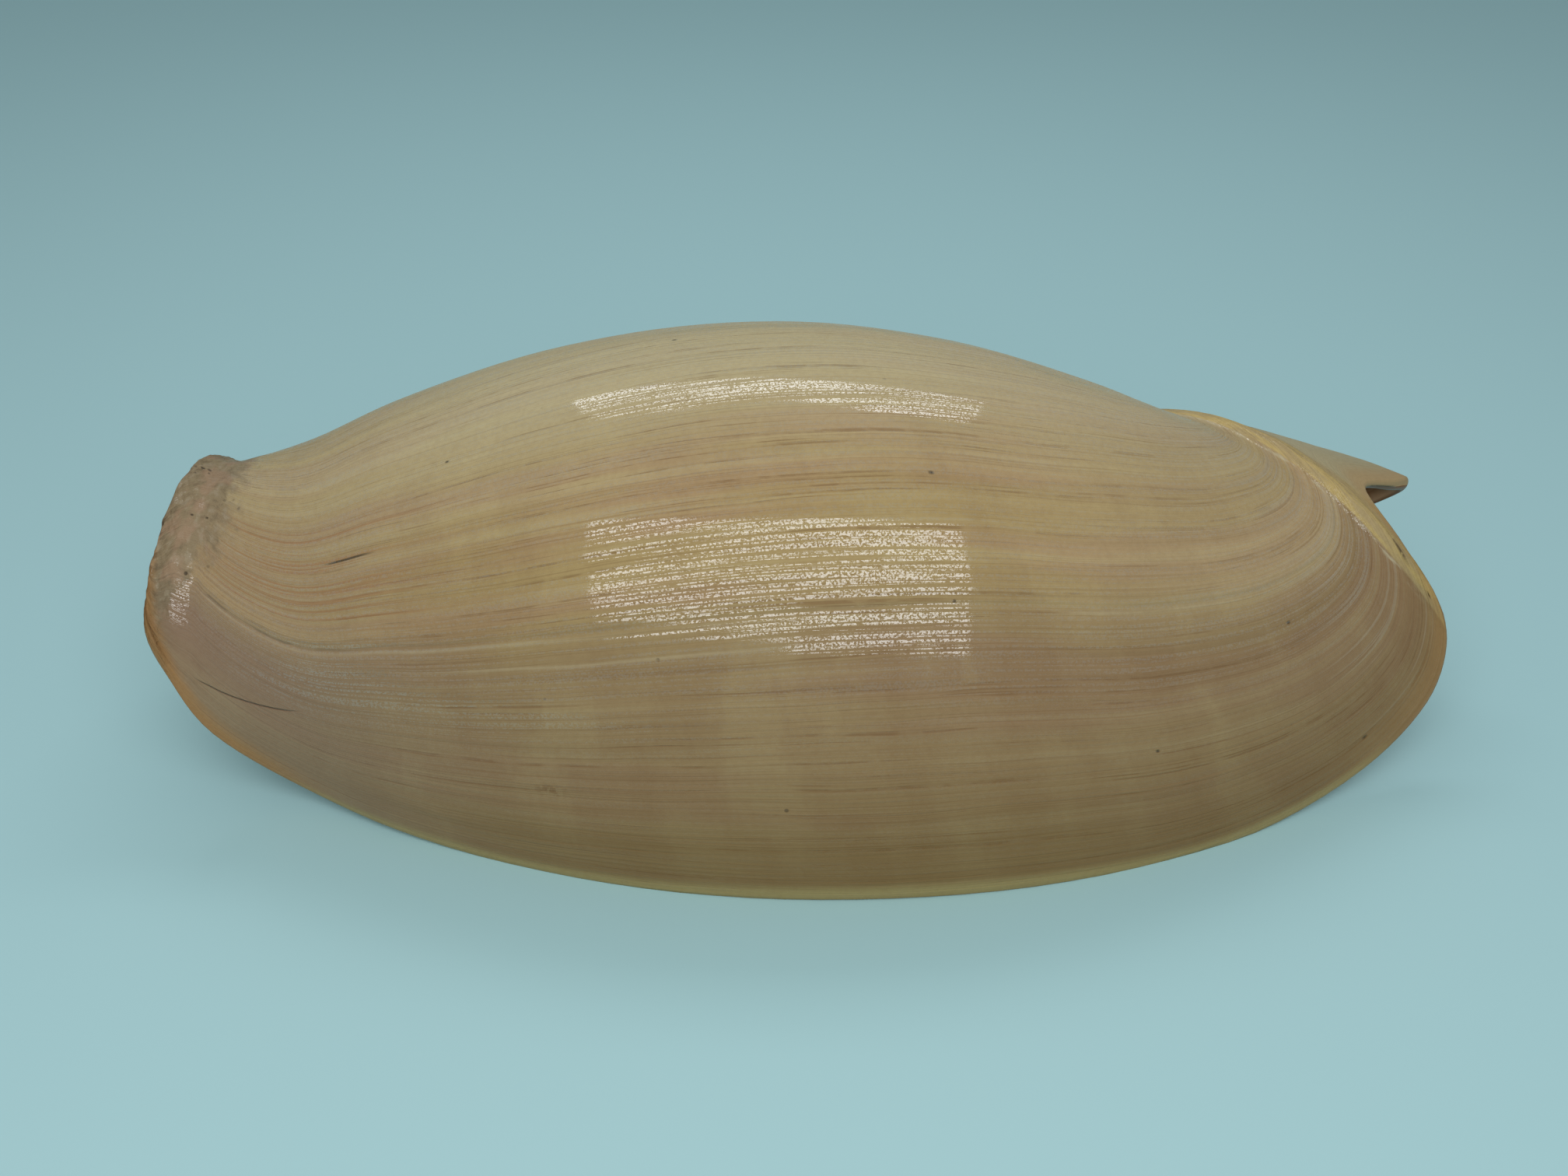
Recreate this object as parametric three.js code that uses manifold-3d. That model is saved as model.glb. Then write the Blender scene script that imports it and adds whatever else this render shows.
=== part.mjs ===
import * as THREE from "three";
import { mergeVertices } from "three/addons/utils/BufferGeometryUtils.js";
import Module from "manifold-3d";

const wasm = await Module();
wasm.setup();

// A large volute shell in one piece, lying on its aperture. Millimetres, Z up, resting on Z = 0.
// X runs from the sunken spire to the siphonal notch, and the outer lip is on the -Y side.
// The whole shell follows from one growing edge, the lip, turned back round the coiling axis
// while it shrinks, so that every row of the surface is a growth line.

const DEG = Math.PI / 180;
const TURN = 2 * Math.PI;

// Coiling axis: one point on it, its swing from X towards Y, its slope, and the apex along it
const AXIS_POINT = new THREE.Vector3(-8.1, 20, 31.7);
const AXIS_SWING = 5.1 * DEG;
const AXIS_SLOPE = -1.66 * DEG;
const APEX = -99.4;

// Growth for each radian of coiling, round the axis and along it, then the flare of the last part
const ROUND_GROWTH = 0.187;
const LONG_GROWTH = 0.151;
const FLARE_ANGLE = 0.9;
const HALF_LENGTH = 140;

// Wall at the lip's edge and in the body
const EDGE_WALL = 1.7;
const BODY_WALL = 3.4;
const WALL_GROWTH = 0.13;

// Columella: its radius where the aperture ends, its folds and its slanting tip
const PILLAR_RADIUS = 16;
const PILLAR_AT = 125;
const PILLAR_END = 100;
const PILLAR_SLANT = 40;
const PILLAR_TIP_ANGLE = 50 * DEG;
const PILLAR_CAP = 16;
const PILLAR_FROM = -60;
const PILLAR_ROWS = 20;
const FOLD_HEIGHT = 2.2;
const FOLDS_A_TURN = 12;
const FOLDS_AT = 75;
const FOLDS_SPREAD = 38;

// Bulb at the start of the spire
const BULB_RADIUS = 7;
const BULB_AT = -101.5;
const CORE_RADIUS = 2;
const CORE_TO = -35;

// The cavity runs from in front of the lip to deep inside, and the wall thins near the edge
const ROW = 12 * DEG;
const CAVITY_FROM = -25 * DEG;
const CAVITY_ROW = 15 * DEG;
const EDGE_ANGLE = 0.2;

// Points on the axis from which the last whorl and the one before can be seen from inside
const HEART = -40;
const OLD_HEART = -76;

// No edge and no triangle of the finished mesh is finer than this
const LEAST_EDGE = 0.25;
const LEAST_HEIGHT = 0.02;
const CLEAN_PASSES = 12;

// The lip as points along the axis, away from it, and round it in degrees above the -Y side
const SHELF = [
  [-105, 9.5, 46],
  [-117, 18, 40],
  [-129, 27, 33],
  [-135, 33.5, 27],
];
const KEEL = [-136.3, 38.5, 21];
const OUTER_LIP = [
  [-134.4, 39.2, -1],
  [-127, 44, -22],
  [-109.5, 53, -33.5],
  [-83.5, 66.5, -30.3],
  [-42, 81.4, -24.6],
  [1, 89, -20.9],
  [46, 88.6, -20.3],
  [91, 79.3, -22.3],
  [125, 63.5, -20.5],
  [141, 51.5, -12.5],
  [145, 44.7, 0],
  [141, 43.5, 15],
];
const RIDGE = [134, 41.6, 30];
const NOTCH = [128, 37, 52];
const TIP = [
  [139, 30, 58],
  [144, 25, 64],
  [141.5, 19, 66],
  [126, 7, 66],
];

// Where the cavity ends against the whorl before
const SUTURE = [-107.2, 17.4, 36];

// The wall towards the axis: over the whorl before, then down inside the columella
const INNER_LIP = [
  [-106, 16.2, 30],
  [-104, 16.8, 20],
  [-100.6, 17.8, 10],
  [-97, 18.8, 0],
  [-90, 21.2, -10],
  [-82, 23.4, -17],
  [-72, 25.6, -21],
  [-61, 27, -22],
  [-44, 27.6, -22],
  [-27, 25.8, -20],
  [-14, 22, -16],
  [-4, 17.5, -8],
  [12, 9, 5],
  [40, 7, 20],
  [72, 8, 34],
  [100, 10, 46],
  [121, 12, 54],
  [134, 15, 60],
];

const CAVITY_SPANS = spans([...SHELF.slice(1, 3), KEEL, ...OUTER_LIP, RIDGE, NOTCH], 30);

const axis = new THREE.Vector3(
  Math.cos(AXIS_SWING) * Math.cos(AXIS_SLOPE),
  Math.sin(AXIS_SWING) * Math.cos(AXIS_SLOPE),
  Math.sin(AXIS_SLOPE),
);
const front = new THREE.Vector3().crossVectors(axis, new THREE.Vector3(0, 0, 1)).normalize();
const up = new THREE.Vector3().crossVectors(front, axis);

// A point given along the axis, away from it and round it
function place(along, radius, angle) {
  return AXIS_POINT.clone()
    .addScaledVector(axis, along)
    .addScaledVector(front, radius * Math.cos(angle))
    .addScaledVector(up, radius * Math.sin(angle));
}

// Where a point of the lip was when the shell was younger by that angle of coiling
function younger(point, back) {
  const [along, radius, degrees] = point;
  const side = along / HALF_LENGTH;
  const late = 1 - Math.exp(-back / FLARE_ANGLE);
  const flare = 0.092 - 0.067 * side - 0.061 * side * side;
  const stretch = 0.027 - 0.03 * side * side;
  const shrink = Math.exp(-(ROUND_GROWTH * back + flare * late));
  const draw = Math.exp(-(LONG_GROWTH * back + stretch * late));
  return place(APEX + (along - APEX) * draw, radius * shrink, degrees * DEG + back);
}

// The inner wall keeps pace with the whorl under it, so it has no flare
function youngerInner(point, back) {
  const [along, radius, degrees] = point;
  const shrink = Math.exp(-ROUND_GROWTH * back);
  const draw = Math.exp(-LONG_GROWTH * back);
  return place(APEX + (along - APEX) * draw, radius * shrink, degrees * DEG + back);
}

// How many steps each span of a line needs, so that none is longer than the reach
function spans(points, reach) {
  return points.slice(1).map((p, i) => {
    const q = points[i];
    return Math.ceil(Math.hypot(p[0] - q[0], p[1] - q[1], p[2] - q[2]) / reach);
  });
}

// A smooth line through the points, with so many steps in each span
function smooth(points, steps) {
  const all = points.map((p) => new THREE.Vector3(...p));
  const before = all[0].clone().multiplyScalar(2).sub(all[1]);
  const after = all.at(-1).clone().multiplyScalar(2).sub(all.at(-2));
  const line = [before, ...all, after];
  const out = [];
  for (let i = 1; i < line.length - 2; i++) {
    const [p0, p1, p2, p3] = line.slice(i - 1, i + 3);
    const d0 = Math.sqrt(p0.distanceTo(p1));
    const d1 = Math.sqrt(p1.distanceTo(p2));
    const d2 = Math.sqrt(p2.distanceTo(p3));
    const slope = (a, b, c, m, n) =>
      b.clone().sub(a).divideScalar(m)
        .sub(c.clone().sub(a).divideScalar(m + n))
        .add(c.clone().sub(b).divideScalar(n))
        .multiplyScalar(d1);
    const t1 = slope(p0, p1, p2, d0, d1);
    const t2 = slope(p1, p2, p3, d1, d2);
    for (let k = 0; k < steps[i - 1]; k++) {
      const w = k / steps[i - 1];
      const at = p1.clone()
        .addScaledVector(t1, w - 2 * w * w + w * w * w)
        .addScaledVector(p2.clone().sub(p1), 3 * w * w - 2 * w * w * w)
        .addScaledVector(t2, w * w * w - w * w);
      out.push(at.toArray());
    }
  }
  out.push(points.at(-1));
  return out;
}

// The lip's points moved inwards by the wall, square to the grown surface: the growth between
// two points that stand at different angles is taken off first
function inset(points, wall) {
  return points.map((p, i) => {
    const a = points[Math.max(i - 1, 0)];
    const b = points[Math.min(i + 1, points.length - 1)];
    const turned = (b[2] - a[2]) * DEG;
    const along = b[0] - a[0] + turned * (p[0] - APEX) * LONG_GROWTH;
    const out = b[1] - a[1] + turned * p[1] * ROUND_GROWTH;
    const size = Math.hypot(along, out);
    return [p[0] + (wall * out) / size, p[1] - (wall * along) / size, p[2]];
  });
}

// A closed solid from its triangles' corners, without the triangles that have no area
function solid(corners) {
  const flat = new Float32Array(corners.flatMap((p) => p.toArray()));
  const geometry = new THREE.BufferGeometry();
  geometry.setAttribute("position", new THREE.BufferAttribute(flat, 3));
  return fromGeometry(geometry);
}

function fromGeometry(geometry) {
  geometry.deleteAttribute("normal");
  geometry.deleteAttribute("uv");
  const merged = mergeVertices(geometry, 1e-4);
  const from = merged.index.array;
  const kept = [];
  for (let i = 0; i < from.length; i += 3) {
    const [a, b, c] = [from[i], from[i + 1], from[i + 2]];
    if (a !== b && b !== c && c !== a) {
      kept.push(a, b, c);
    }
  }
  const mesh = new wasm.Mesh({
    numProp: 3,
    vertProperties: merged.attributes.position.array,
    triVerts: new Uint32Array(kept),
  });
  return new wasm.Manifold(mesh);
}

// Triangles between two rows of the same number of points
function strip(rowA, rowB) {
  const corners = [];
  for (let i = 0; i + 1 < rowA.length; i++) {
    corners.push(rowA[i], rowA[i + 1], rowB[i + 1], rowA[i], rowB[i + 1], rowB[i]);
  }
  return corners;
}

// Part of the outside between two of its rows, closed by lines from one point on the axis
function whorlPart(lip, first, count, seenFrom) {
  const heart = place(seenFrom, 0, 0);
  const rows = [];
  for (let k = first; k <= first + count; k++) {
    rows.push(lip.map((p) => younger(p, k * ROW)));
  }
  const hearts = rows[0].map(() => heart);
  const corners = [...strip(hearts, rows[0]), ...strip(rows[count], hearts)];
  for (let k = 0; k < count; k++) {
    corners.push(...strip(rows[k], rows[k + 1]));
    corners.push(heart, rows[k][0], rows[k + 1][0]);
    corners.push(heart, rows[k + 1].at(-1), rows[k].at(-1));
  }
  return solid(corners);
}

// Part of the cavity, between the inside of the lip and the wall towards the axis
function cavityPart(first, count) {
  const outer = [];
  const inner = [];
  for (let k = first; k <= first + count; k++) {
    const back = CAVITY_FROM + k * CAVITY_ROW;
    const inside = Math.max(back, 0);
    const thick = 1 - Math.exp(-inside / EDGE_ANGLE);
    const old = Math.exp(-WALL_GROWTH * inside);
    const wall = (EDGE_WALL + (BODY_WALL - EDGE_WALL) * thick) * old;
    const shelf = inset(SHELF, wall).slice(1, 3);
    const keel = [KEEL[0] + 2.2 * wall, KEEL[1] - 2 * wall, KEEL[2]];
    const under = [OUTER_LIP[0][0] + 1.2 * wall, OUTER_LIP[0][1] - 1.1 * wall, OUTER_LIP[0][2]];
    const side = inset([KEEL, ...OUTER_LIP, RIDGE, NOTCH], wall).slice(2, -1);
    const last = [NOTCH[0] - 0.8 * wall, NOTCH[1] - 1.1 * wall, NOTCH[2]];
    const line = smooth([...shelf, keel, under, ...side, last], CAVITY_SPANS);
    const suture = youngerInner(SUTURE, back);
    outer.push([suture, ...line.map((p) => younger(p, back))]);
    inner.push(smooth(INNER_LIP, [1, ...CAVITY_SPANS]).map((p) => youngerInner(p, back)));
  }
  const corners = [...strip(outer[0], inner[0]).reverse(), ...strip(outer[count], inner[count])];
  for (let k = 0; k < count; k++) {
    corners.push(...strip(outer[k], outer[k + 1]));
    corners.push(...strip(inner[k + 1], inner[k]));
    const [a, b, c, d] = [outer[k], outer[k + 1], inner[k + 1], inner[k]];
    corners.push(a[0], b[0], c[0], a[0], c[0], d[0]);
    corners.push(a.at(-1), c.at(-1), b.at(-1), a.at(-1), d.at(-1), c.at(-1));
  }
  return solid(corners);
}

// The columella: a cone round the axis with slanting folds, cut off at a slant
function pillar() {
  const rows = [];
  const around = 24;
  for (let k = 0; k < around; k++) {
    const angle = (k * TURN) / around;
    const end = PILLAR_END + PILLAR_SLANT * Math.cos(angle - PILLAR_TIP_ANGLE);
    const row = [place(PILLAR_FROM, 0, 0)];
    for (let i = 0; i <= PILLAR_ROWS; i++) {
      const t = i / PILLAR_ROWS;
      const along = PILLAR_FROM + (end - PILLAR_FROM) * (1 - (1 - t) ** 1.5);
      const reach = (along - APEX) / (PILLAR_AT - APEX);
      const phase = Math.log(reach) / LONG_GROWTH + angle;
      const fold = (0.5 + 0.5 * Math.cos(FOLDS_A_TURN * phase)) ** 2;
      const near = Math.exp(-(((along - FOLDS_AT) / FOLDS_SPREAD) ** 2));
      const cone = PILLAR_RADIUS * reach ** (ROUND_GROWTH / LONG_GROWTH);
      const cap = Math.min(1, (end - along) / PILLAR_CAP);
      const radius = (cone + FOLD_HEIGHT * fold * near) * Math.sqrt(1 - (1 - cap) ** 2);
      if (i < PILLAR_ROWS) {
        row.push(place(along, radius, angle));
      }
    }
    row.push(place(PILLAR_END, 0, 0));
    rows.push(row);
  }
  const corners = [];
  for (let k = 0; k < around; k++) {
    corners.push(...strip(rows[k], rows[(k + 1) % around]));
  }
  return solid(corners);
}

// The bulb that the spire began with, on the core that the first turns wind round
function bulb() {
  const profile = [];
  for (let i = 0; i <= 8; i++) {
    const bend = (i / 8) * 0.75 * Math.PI;
    profile.push([BULB_AT - BULB_RADIUS * Math.cos(bend), BULB_RADIUS * Math.sin(bend)]);
  }
  profile.push([CORE_TO, CORE_RADIUS], [CORE_TO, 0]);
  const rows = [];
  for (let k = 0; k < 18; k++) {
    rows.push(profile.map(([along, radius]) => place(along, radius, (k * TURN) / 18)));
  }
  return solid(rows.flatMap((row, k) => strip(row, rows[(k + 1) % 18])));
}

// The faces round each vertex
function facesAround(faces) {
  const around = new Map();
  for (const face of faces) {
    for (const v of face) {
      around.set(v, [...(around.get(v) ?? []), face]);
    }
  }
  return around;
}

// The faces that hang together with the first one, so that no loose crumb of a cut stays
function connected(faces) {
  const around = facesAround(faces);
  const reached = new Set([faces[0]]);
  for (const face of reached) {
    for (const v of face) {
      around.get(v).forEach((f) => reached.add(f));
    }
  }
  return [...reached];
}

// The cuts leave slivers: their shortest edges are drawn together and their long edges turned
function cleaned(mesh) {
  const at = (v) => new THREE.Vector3().fromArray(mesh.vertProperties, v * 3);
  const gap = (u, v) => at(u).distanceTo(at(v));
  const heightOver = (u, v, w) =>
    new THREE.Line3(at(u), at(v))
      .closestPointToPoint(at(w), true, new THREE.Vector3())
      .distanceTo(at(w));
  let faces = [];
  for (let i = 0; i < mesh.triVerts.length; i += 3) {
    faces.push([...mesh.triVerts.slice(i, i + 3)]);
  }
  faces = connected(faces);
  for (let pass = 0; pass < CLEAN_PASSES; pass++) {
    const around = facesAround(faces);
    const near = (x) => new Set(around.get(x).flat());
    const touched = new Set();
    const touch = (list) => list.forEach((f) => touched.add(f));
    const free = (list) => list.every((f) => !touched.has(f));
    for (const face of faces) {
      for (let k = 0; k < 3; k++) {
        const [u, v, w] = [face[k], face[(k + 1) % 3], face[(k + 2) % 3]];
        const both = [...around.get(u), ...around.get(v)];
        if (!free(both)) {
          continue;
        }
        if (gap(u, v) < LEAST_EDGE) {
          const shared = [...near(u)].filter((x) => near(v).has(x) && x !== u && x !== v);
          if (shared.length === 2) {
            touch(both);
            around.get(v).forEach((f) => f.splice(f.indexOf(v), 1, u));
          }
        } else if (heightOver(u, v, w) < LEAST_HEIGHT && gap(w, u) < gap(u, v) && gap(w, v) < gap(u, v)) {
          const other = around.get(v).find((f) => f !== face && f.includes(u));
          const x = other.find((y) => y !== u && y !== v);
          const across = [...around.get(w), ...around.get(x)];
          if (free(across) && !near(w).has(x)) {
            touch(across);
            touch(both);
            face.splice(0, 3, u, x, w);
            other.splice(0, 3, x, v, w);
          }
        }
      }
    }
    faces = faces.filter((f) => new Set(f).size === 3);
  }
  return new Uint32Array(faces.flat());
}

const lipPoints = [...SHELF, KEEL, ...OUTER_LIP, RIDGE, NOTCH, ...TIP];
const lipLine = smooth(lipPoints, spans(lipPoints, 15));

// The last whorl, then the one inside it, of which the spire and the parietal wall show
let body = bulb();
for (const first of [0, 10, 20]) {
  body = body.add(whorlPart(lipLine, first, 10, HEART));
}
for (const first of [29, 39, 49]) {
  body = body.add(whorlPart(lipLine, first, 10, OLD_HEART));
}
for (const first of [0, 8, 16]) {
  body = body.subtract(cavityPart(first, 8));
}
body = body.add(pillar());

// What would stand below the surface it rests on is worn flat
const floor = new THREE.BoxGeometry(400, 300, 40);
floor.translate(0, 0, -20);
body = body.subtract(fromGeometry(floor));

const whole = body.getMesh();
const geometry = new THREE.BufferGeometry();
geometry.setAttribute("position", new THREE.BufferAttribute(whole.vertProperties, 3));
geometry.setIndex(new THREE.BufferAttribute(cleaned(whole), 1));
geometry.computeVertexNormals();
const coat = new THREE.MeshStandardMaterial({ color: "#b8986a", roughness: 0.4, metalness: 0 });
const shell = new THREE.Mesh(geometry, coat);
shell.name = "shell";

const group = new THREE.Group();
group.add(shell);
export default group;
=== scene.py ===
import bpy
import numpy as np
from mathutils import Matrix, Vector


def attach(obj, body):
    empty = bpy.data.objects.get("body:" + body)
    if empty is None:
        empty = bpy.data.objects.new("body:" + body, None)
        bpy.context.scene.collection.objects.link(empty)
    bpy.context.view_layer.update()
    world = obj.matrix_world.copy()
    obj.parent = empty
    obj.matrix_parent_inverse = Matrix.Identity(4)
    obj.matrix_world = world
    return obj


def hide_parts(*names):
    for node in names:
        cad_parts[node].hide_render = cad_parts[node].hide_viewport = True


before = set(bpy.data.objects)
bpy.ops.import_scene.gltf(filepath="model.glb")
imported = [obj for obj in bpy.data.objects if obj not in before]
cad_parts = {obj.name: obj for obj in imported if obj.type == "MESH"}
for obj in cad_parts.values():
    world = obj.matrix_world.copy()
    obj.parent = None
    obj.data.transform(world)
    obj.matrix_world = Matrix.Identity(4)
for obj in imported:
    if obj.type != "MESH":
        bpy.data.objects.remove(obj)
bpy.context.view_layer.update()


# The last whorl: one thin wall of shell that grew at its edge, the lip. It wraps the older coils, and
# its far end shows as the body whorl in the mouth. It is made by turning the lip back round the
# coiling axis while it shrinks, and every row of its mesh is one growth line.

# The lip in millimetres along the axis, millimetres away from it, and degrees above the near side
LIP = np.array([
    (-105, 9.5, 46), (-117, 18, 40), (-129, 27, 33), (-135.6, 33.8, 27), (-137.4, 39.3, 20.5),
    (-134.4, 39.2, -1), (-127, 44, -22), (-109.5, 53, -33.5), (-83.5, 66.5, -30.3), (-42, 81.4, -24.6),
    (1, 89, -20.9), (46, 88.6, -20.3), (91, 79.3, -22.3), (125, 63.5, -20.5), (141, 51.5, -12.5),
    (145, 44.7, 0), (141, 43.5, 15), (134, 41.6, 30), (128, 37, 52), (139, 31, 58.5),
    (144.2, 27, 64), (143, 20.5, 67), (126, 7, 66),
])
AXIS_POINT = np.array([-8.1, 20, 31.7])
AXIS_SWING = np.radians(5.1)
AXIS_SLOPE = np.radians(-1.66)
APEX = -99.4
# How fast a coil narrows and shortens, to the radian of coiling, and the age given to a radian
NARROWING = 0.187
SHORTENING = 0.151
AGE_OF_RADIAN = 80
# Millimetres: the wall at the lip's edge, what it gains further in, and at the tip, and in the keel
LIP_WALL = 1.7
INNER_GAIN = 1.7
TIP_GAIN = 1.5
KEEL_WALL = 0.35
# Millimetres across the lip where the keel and the cord lie, and the two ages at which growth stopped
KEEL = 46
CORD = 387
STOP = 62
EARLIER_STOP = 55.3
# The mouth's inner edge: millimetres along the axis, and degrees round it from the near side
MOUTH_ALONG = [-106, -97, -90, -82, -72, -61, -44, -27, -14, -4, 12, 40, 72, 100, 134]
MOUTH_ANGLE = [26, 0, -10, -17, -21, -22, -22, -20, -16, -8, 5, 20, 34, 46, 60]

axis = np.array([
    np.cos(AXIS_SWING) * np.cos(AXIS_SLOPE),
    np.sin(AXIS_SWING) * np.cos(AXIS_SLOPE),
    np.sin(AXIS_SLOPE),
])
near_side = np.cross(axis, [0, 0, 1])
near_side /= np.linalg.norm(near_side)
upward = np.cross(near_side, axis)


def smooth_line(points, steps):
    """A curve through all the points: in each span a cubic in w, from 0 to 1, whose end slopes are the
    differences to the neighbours, weighted by the square roots of the distances between the points."""
    ends = np.vstack([2 * points[0] - points[1], points, 2 * points[-1] - points[-2]])
    w = (np.arange(steps) / steps)[:, None]
    spans = []
    for i in range(len(points) - 1):
        p0, p1, p2, p3 = ends[i:i + 4]
        d0, d1, d2 = np.linalg.norm(np.diff(ends[i:i + 4], axis=0), axis=1) ** 0.5
        t1 = ((p1 - p0) / d0 - (p2 - p0) / (d0 + d1) + (p2 - p1) / d1) * d1
        t2 = ((p2 - p1) / d1 - (p3 - p1) / (d1 + d2) + (p3 - p2) / d2) * d1
        rise = 3 * (p2 - p1) - 2 * t1 - t2
        fall = 2 * (p1 - p2) + t1 + t2
        spans.append(p1 + w * t1 + w ** 2 * rise + w ** 3 * fall)
    return np.vstack(spans + [points[-1:]])


def bump_at(x, centre, width):
    """A bell: one at the centre, falling off with the square of the distance over the width."""
    return np.exp(-(((x - centre) / width) ** 2))


def softened(line, middle, spread, passes):
    """The line with each point moved, pass after pass, half way to the middle of its neighbours, times a
    bell over its distance along the line from one place, so that a corner there becomes round."""
    run = np.r_[0, np.cumsum(np.hypot(*np.diff(line[:, :2], axis=0).T))]
    for _ in range(passes):
        away = (line[:-2] + line[2:]) / 2 - line[1:-1]
        line[1:-1] += 0.5 * away * bump_at(run[1:-1], middle, spread)[:, None]
    return line


def placed(along, radius, angle):
    """The point that far along the coiling axis, at that radius, and turned that far round it from the
    near side: the axis point plus along times the axis plus radius times the turned direction."""
    return (
        AXIS_POINT
        + along[..., None] * axis
        + (radius * np.cos(angle))[..., None] * near_side
        + (radius * np.sin(angle))[..., None] * upward
    )


def grown(line, back):
    """The lip a given angle of coiling earlier: it is turned by that angle, its distances from the axis
    and from the apex shrink exponentially with it, and the flare of the last part is taken off."""
    a, r, degrees = line[None, :, 0], line[None, :, 1], line[None, :, 2]
    t = back[:, None]
    side = a / 140
    late = 1 - np.exp(-t / 0.9)
    radius = r * np.exp(-(NARROWING * t + (0.092 - 0.067 * side - 0.061 * side ** 2) * late))
    along = APEX + (a - APEX) * np.exp(-(SHORTENING * t + (0.027 - 0.03 * side ** 2) * late))
    return placed(along, radius, np.radians(degrees) + t), along


def waves(x, step, seed):
    """Gentle random waves from -1 to 1 along x: random heights a step apart, joined by a smooth curve."""
    heights = np.random.default_rng(seed).uniform(-1, 1, 4096)
    cell = np.floor(x / step).astype(int)
    f = x / step - cell
    f = f * f * (3 - 2 * f)
    return heights[(cell + 1000) % 4096] * (1 - f) + heights[(cell + 1001) % 4096] * f


def spots(x, y, step_x, step_y, seed):
    """Random patches from -1 to 1 over x and y: random heights on a grid, joined by smooth curves."""
    heights = np.random.default_rng(seed).uniform(-1, 1, (512, 512))
    cx, cy = np.floor(x / step_x).astype(int), np.floor(y / step_y).astype(int)
    fx, fy = x / step_x - cx, y / step_y - cy
    fx, fy = fx * fx * (3 - 2 * fx), fy * fy * (3 - 2 * fy)
    i, j = (cx + 100) % 512, (cy + 100) % 512
    k, m = (i + 1) % 512, (j + 1) % 512
    near = heights[i, j] * (1 - fx) + heights[k, j] * fx
    far = heights[i, m] * (1 - fx) + heights[k, m] * fx
    return near * (1 - fy) + far * fy


def in_the_mouth(along, degrees):
    """0 where the older coil lies outside the mouth and 1 inside it, by how far round the axis a point is
    past the mouth's inner edge, which stands at a different angle at each place along the axis."""
    edge = np.interp(along, MOUTH_ALONG, MOUTH_ANGLE)
    return np.clip((degrees - edge) / 6 + 0.5, 0, 1)


def wall_of_shell(across, growth):
    """The wall's thickness: the lip's at its edge and more further in, thicker at the tip, thin inside
    the narrow keel, where it rises from least with the distance, and thinner the older it is."""
    tip = TIP_GAIN * bump_at(across, 447, 13) * np.exp(-growth / 0.3)
    full = LIP_WALL + tip + INNER_GAIN * (1 - np.exp(-growth / 0.2))
    keel = KEEL_WALL + np.where(across > KEEL, 0.2 * (across - KEEL), 0.16 * (KEEL - across))
    return np.minimum(full, keel) * np.exp(-0.13 * growth)


def growth_relief(across, growth, age):
    """Millimetres in or out along the normal: random waves by age, a groove and a step where growth
    stopped, the raised cord at the notch, and wear with pits on the keel."""
    ends = np.clip((across - 60) / 60, 0, 1) * np.clip((CORD + 3 - across) / 60, 0, 1)
    drift = age + 1.4 * spots(across, age, 45, 14, 3)
    height = 0.030 * waves(drift, 3.4, 1) + 0.10 * waves(drift, 11, 2)
    height += 0.08 * spots(across, age, 30, 12, 4)
    # A groove where growth stopped, with a step above it, and a fainter one where it stopped again
    past = age + 0.5 * waves(across, 22, 5) - STOP
    crease = 0.12 + 0.4 * np.clip((150 - across) / 60, 0, 1)
    rise = 0.18 / (1 + np.exp(-past / 0.8)) * bump_at(past, 0, 9)
    height += ends * (-crease * bump_at(past, 0, 1.1) + rise)
    past = age - EARLIER_STOP + 0.4 * waves(across, 20, 6)
    height -= 0.16 * bump_at(past, 0, 0.9) * bump_at(across, 185, 45)
    # The cord stands proud of the lines before it
    step = 1 / (1 + np.exp(-(across - CORD) / 0.7)) * bump_at(across, CORD, 24)
    height += 0.5 * step * np.clip(growth / 0.1, 0, 1) + 0.25 * bump_at(across, 404, 3.5)
    # The keel is worn into lumps and pits
    worn = bump_at(across, 56, 17)
    height += worn * (0.22 * spots(across, age, 4.2, 5.5, 7) + 0.32 * spots(across, age, 8.5, 12, 8))
    height -= worn * 0.5 * np.clip(spots(across, age, 3.0, 4.2, 9) - 0.6, 0, 1) * 2
    # Single marks: a chip and the ridge beside it, a slanting ridge, and a crack
    height -= 0.5 * bump_at(across, 166, 3.2) * bump_at(age, 24, 1.6)
    height += 0.35 * bump_at(across, 163, 4) * bump_at(age, 27.5, 1.3)
    height += 0.3 * bump_at(across, 136, 8) * bump_at(age - 13.6 + (across - 136) * 0.18, 0, 1.1)
    height -= 0.3 * bump_at(across, 120, 7) * bump_at(age - 92.5, 0, 0.9)
    return height


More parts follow.
